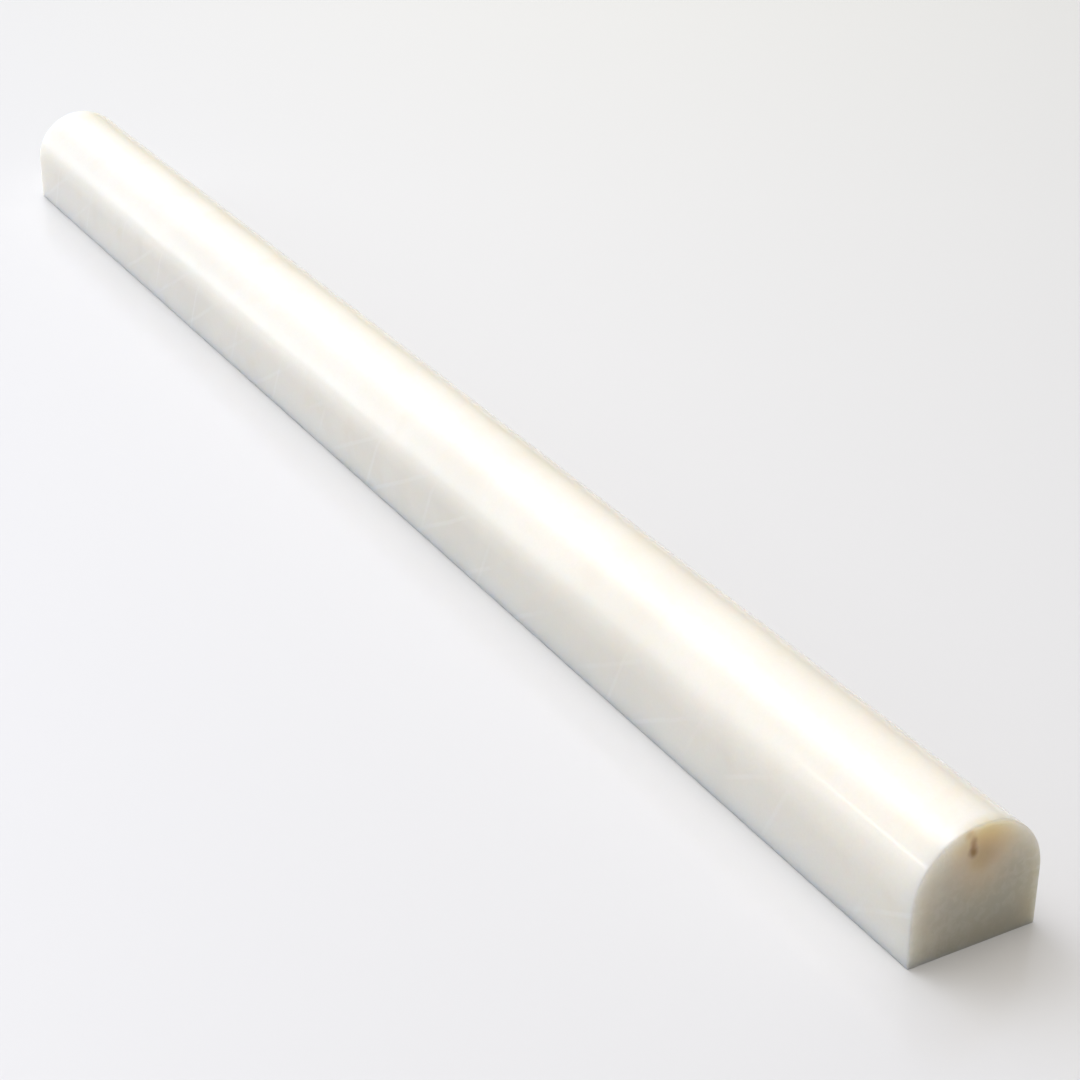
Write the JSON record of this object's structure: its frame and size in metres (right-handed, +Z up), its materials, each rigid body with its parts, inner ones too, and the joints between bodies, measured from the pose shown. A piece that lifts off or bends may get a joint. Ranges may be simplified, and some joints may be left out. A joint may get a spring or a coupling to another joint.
{
  "type": "half-round marble liner tile",
  "caption": "Straight marble trim bar with a flat back, low flat sides, a polished half-round top and square sawn ends.",
  "frame": {"origin": "centre of the flat sawn back, on the surface that the bar lies on", "axes": "+X along the bar towards its stained end, +Y across the bar, +Z up out of the back towards the half-round"},
  "size_m": [0.305, 0.019, 0.0175],
  "materials": {
    "polished_marble": "polished"
  },
  "bodies": {
    "root": {"marble_liner": "polished_marble"}
  },
  "joints": []
}
